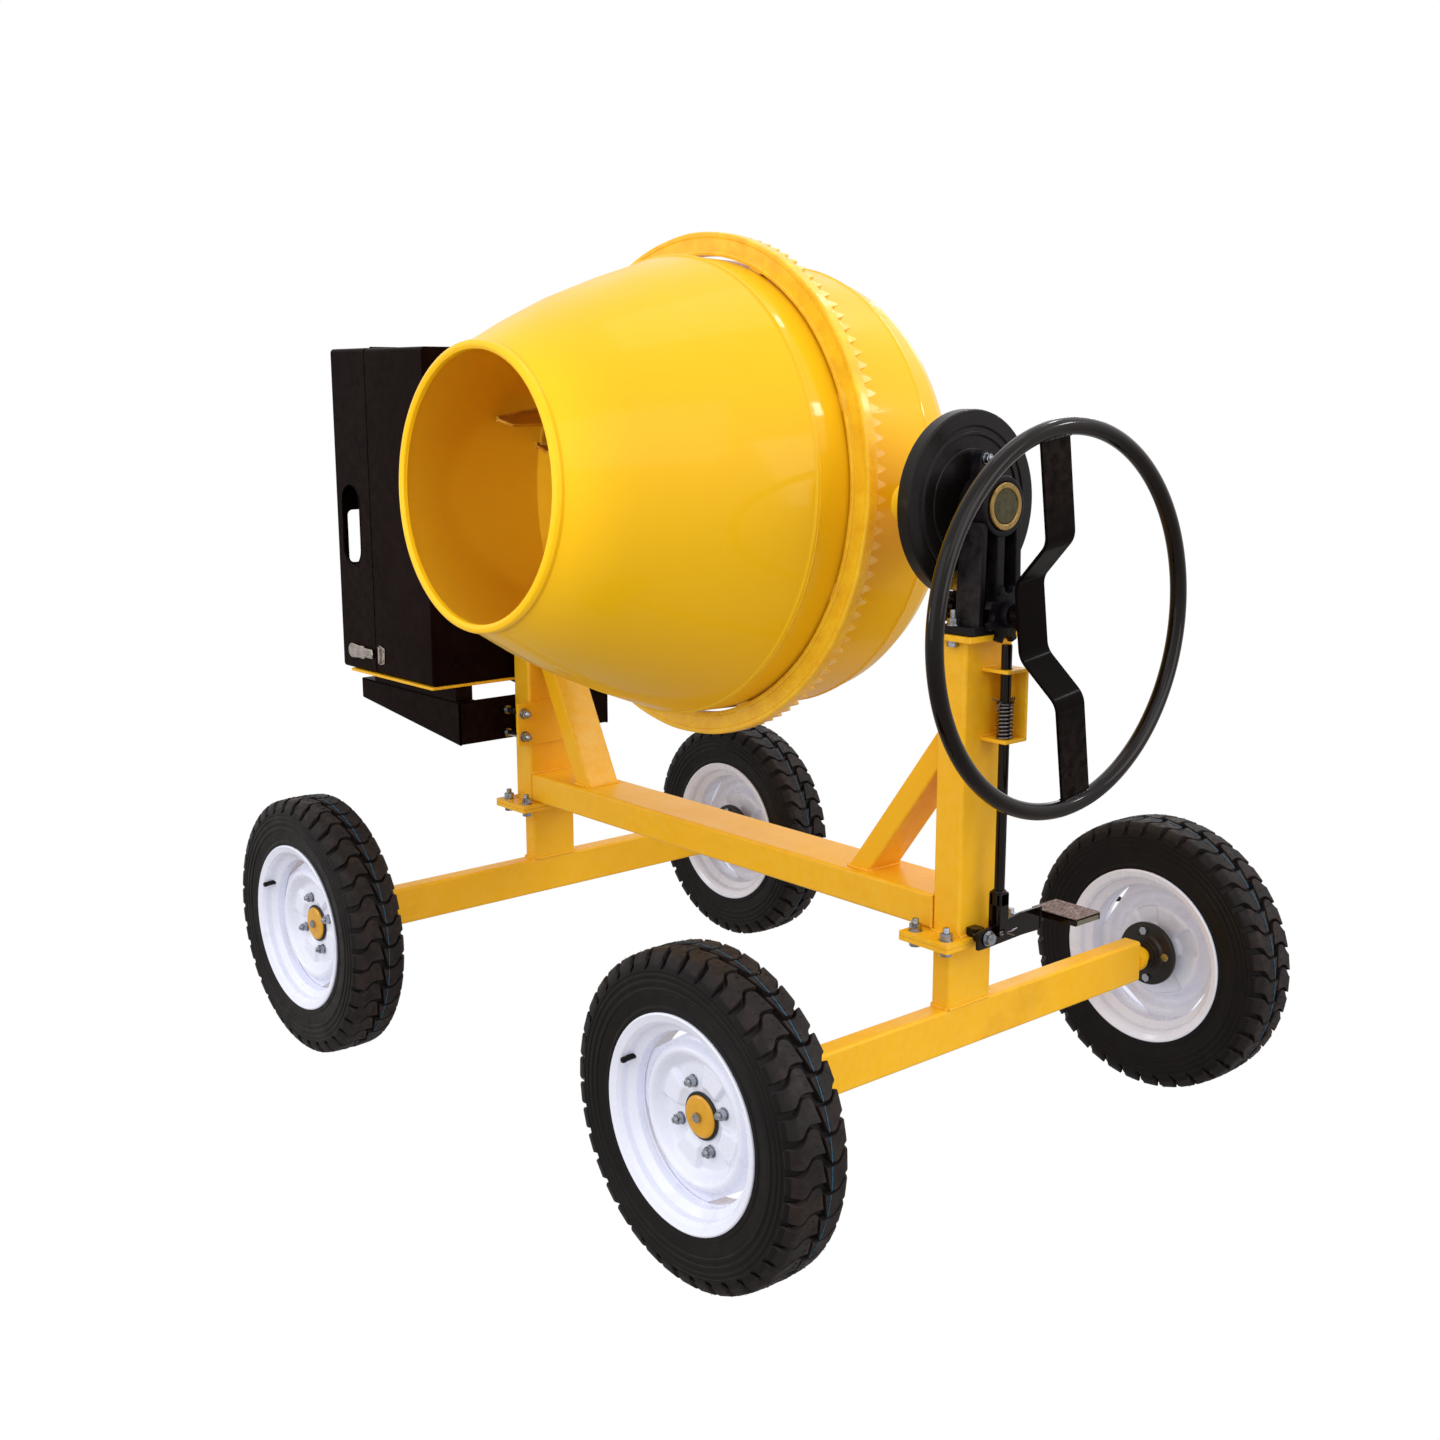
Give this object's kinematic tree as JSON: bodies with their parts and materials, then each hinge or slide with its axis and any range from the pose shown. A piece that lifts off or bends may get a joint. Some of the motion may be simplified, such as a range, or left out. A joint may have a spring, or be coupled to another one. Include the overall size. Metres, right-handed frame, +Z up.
{
  "type": "concrete mixer",
  "caption": "Four-wheeled tilting-drum concrete mixer with ring-gear drum drive, handwheel tilt with foot lock, and an enclosed engine on a side tray.",
  "frame": {"origin": "on the ground under the middle of the machine's bounding box", "axes": "+Z up, -Y towards the drum mouth, +X towards the handwheel, -X towards the engine"},
  "size_m": [1.991, 1.284, 1.6411],
  "materials": {
    "yellow_paint": "gloss",
    "black_paint": "satin",
    "dark_casting": "rough",
    "bright_steel": "zinc plated",
    "trunnion_brass": "satin",
    "tyre_rubber": "matte",
    "wheel_white": "gloss",
    "belt_rubber": "matte"
  },
  "bodies": {
    "frame": {"main_beam": "yellow_paint", "post_right": "yellow_paint", "post_left": "yellow_paint", "brace_right": "yellow_paint", "brace_left": "yellow_paint", "flange_upper_right": "yellow_paint", "flange_upper_left": "yellow_paint", "stub_right": "yellow_paint", "stub_left": "yellow_paint", "axle_right": "yellow_paint", "axle_left": "yellow_paint", "rod_bracket": "yellow_paint", "base_plate": "yellow_paint", "clamp_plate": "yellow_paint", "tilt_gear_guard": "black_paint", "engine_housing": "black_paint", "engine_tray": "black_paint", "pedestal_right": "dark_casting", "pedestal_left": "dark_casting", "engine": "dark_casting", "spindle_front_right": "bright_steel", "spindle_back_right": "bright_steel", "spindle_front_left": "bright_steel", "spindle_back_left": "bright_steel", "pedal_pivot": "bright_steel", "lock_spring": "bright_steel", "latch_catch": "bright_steel", "bushing_right": "trunnion_brass", "bushing_left": "trunnion_brass", "drive_belt": "belt_rubber"},
    "wheel_front_right": {"tyre_front_right": "tyre_rubber", "rim_front_right": "wheel_white", "hub_front_right": "black_paint"},
    "wheel_back_right": {"tyre_back_right": "tyre_rubber", "rim_back_right": "wheel_white", "hub_back_right": "black_paint"},
    "wheel_front_left": {"tyre_front_left": "tyre_rubber", "rim_front_left": "wheel_white", "hub_front_left": "black_paint"},
    "wheel_back_left": {"tyre_back_left": "tyre_rubber", "rim_back_left": "wheel_white", "hub_back_left": "black_paint"},
    "yoke": {"yoke": "yellow_paint", "tilt_gear": "yellow_paint"},
    "drum": {"drum_shell": "yellow_paint", "ring_gear": "yellow_paint", "blade_1": "yellow_paint", "blade_2": "yellow_paint", "blade_3": "yellow_paint"},
    "pinion": {"pinion_shaft": "bright_steel", "driven_pulley": "dark_casting"},
    "motor_rotor": {"motor_pulley": "dark_casting", "motor_shaft": "bright_steel"},
    "handwheel": {"handwheel": "black_paint", "tilt_shaft": "bright_steel", "lock_disc": "dark_casting"},
    "pedal": {"pedal": "black_paint"},
    "lock_rod": {"lock_rod": "black_paint"},
    "engine_cover": {"engine_cover": "black_paint"},
    "latch": {"latch_lever": "bright_steel"}
  },
  "joints": [
    {"name": "yoke_tilt", "type": "hinge", "parent": "frame", "child": "yoke", "pos_m": [0.1055, 0, 1.17], "axis": [1, 0, 0], "range_deg": [-40, 60]},
    {"name": "drum_spin", "type": "hinge", "parent": "yoke", "child": "drum", "pos_m": [0.1055, 0, 1.17], "axis": [0, 0.9993, -0.0384], "continuous": true},
    {"name": "pinion_spin", "type": "hinge", "parent": "yoke", "child": "pinion", "pos_m": [-0.4945, 0, 1.17], "axis": [1, 0, 0], "continuous": true},
    {"name": "motor_spin", "type": "hinge", "parent": "frame", "child": "motor_rotor", "pos_m": [-0.7045, 0, 0.868], "axis": [1, 0, 0], "continuous": true},
    {"name": "handwheel_turn", "type": "hinge", "parent": "frame", "child": "handwheel", "pos_m": [0.8055, 0, 0.995], "axis": [1, 0, 0], "range_deg": [-240, 160]},
    {"name": "pedal_press", "type": "hinge", "parent": "frame", "child": "pedal", "pos_m": [0.8075, -0.03, 0.448], "axis": [1, 0, 0], "range_deg": [-15, 0], "stiffness_Nm_per_rad": 10, "springref_deg": 34.38},
    {"name": "lock_rod_slide", "type": "slide", "parent": "frame", "child": "lock_rod", "axis": [0, 0, 1], "range_m": [-0.0079, 0], "deforming": ["lock_spring"]},
    {"name": "cover_swing", "type": "hinge", "parent": "frame", "child": "engine_cover", "pos_m": [-0.8205, 0, 1.452], "axis": [0, 1, 0], "range_deg": [0, 80]},
    {"name": "latch_swing", "type": "hinge", "parent": "engine_cover", "child": "latch", "pos_m": [-0.8245, -0.267, 0.762], "axis": [0, 0, 1], "range_deg": [0, 100]},
    {"name": "wheel_front_right_spin", "type": "hinge", "parent": "frame", "child": "wheel_front_right", "pos_m": [0.7285, -0.585, 0.267], "axis": [0, 1, 0], "continuous": true},
    {"name": "wheel_back_right_spin", "type": "hinge", "parent": "frame", "child": "wheel_back_right", "pos_m": [0.7285, 0.585, 0.267], "axis": [0, 1, 0], "continuous": true},
    {"name": "wheel_front_left_spin", "type": "hinge", "parent": "frame", "child": "wheel_front_left", "pos_m": [-0.5175, -0.585, 0.267], "axis": [0, 1, 0], "continuous": true},
    {"name": "wheel_back_left_spin", "type": "hinge", "parent": "frame", "child": "wheel_back_left", "pos_m": [-0.5175, 0.585, 0.267], "axis": [0, 1, 0], "continuous": true}
  ],
  "couplings": [
    {"joint": "pinion_spin", "follows": "drum_spin", "ratio": -8},
    {"joint": "motor_spin", "follows": "drum_spin", "ratio": -26.571},
    {"joint": "handwheel_turn", "follows": "yoke_tilt", "ratio": -4},
    {"joint": "lock_rod_slide", "follows": "pedal_press", "m_per_rad": 0.03}
  ]
}
